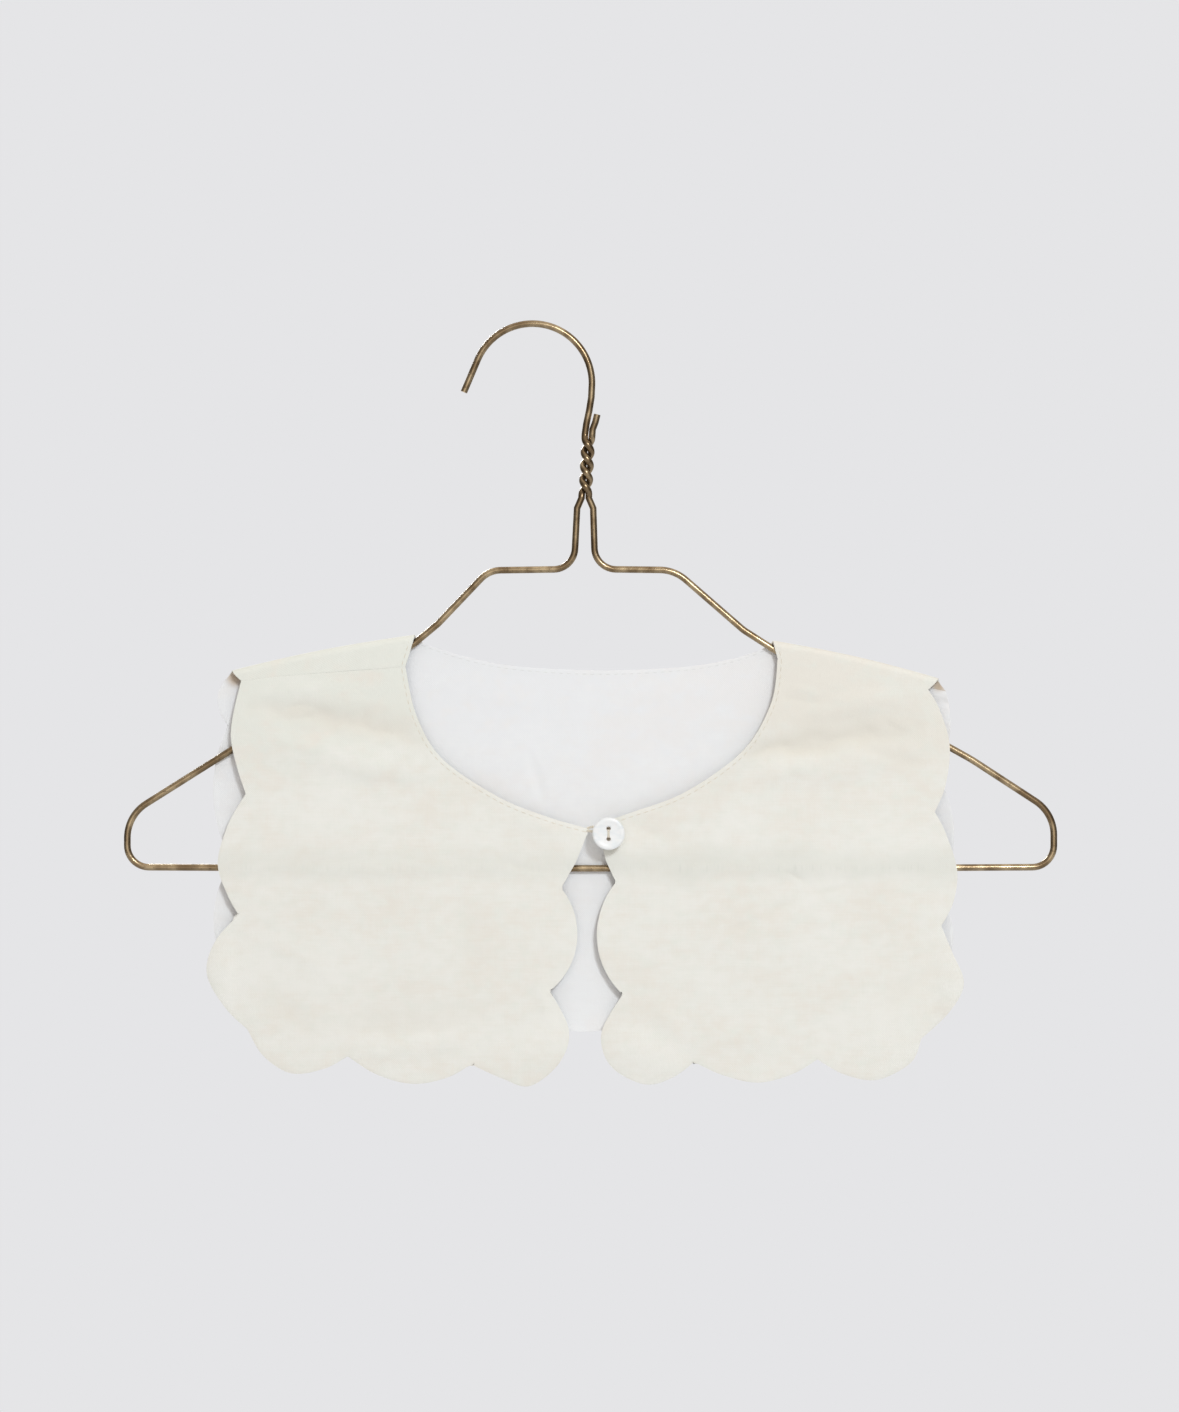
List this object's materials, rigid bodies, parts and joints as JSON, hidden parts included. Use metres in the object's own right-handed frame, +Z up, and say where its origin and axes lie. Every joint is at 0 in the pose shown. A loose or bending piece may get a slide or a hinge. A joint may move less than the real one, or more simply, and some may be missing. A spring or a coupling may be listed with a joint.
{
  "type": "scalloped collar on a wire hanger",
  "caption": "Child's detachable cotton collar with scalloped edges, lined, buttoned at the front, hung flat on a bent and twisted wire hanger.",
  "frame": {"origin": "the inner top of the hanger's hook, where a rail carries it", "axes": "+Z up, +X to the right as the collar is seen from its front, +Y from the front towards the back; the wire lies in the plane y = 0"},
  "size_m": [0.3007, 0.0121, 0.2466],
  "materials": {
    "cream_cotton": "matt, fine plain weave cotton, cream",
    "white_lining": "matt, fine plain weave cotton, white",
    "bronze_wire": "aged bronze plating, satin, darker in the hollows",
    "pearl_button": "pearly white, soft gloss",
    "loop_cord": "twisted cotton cord, cream"
  },
  "bodies": {
    "root": {"front_left": "cream_cotton", "front_right": "cream_cotton", "back_panel": "cream_cotton", "back_lining": "white_lining", "hanger_wire": "bronze_wire", "button": "pearl_button", "button_loop": "loop_cord"}
  },
  "joints": []
}
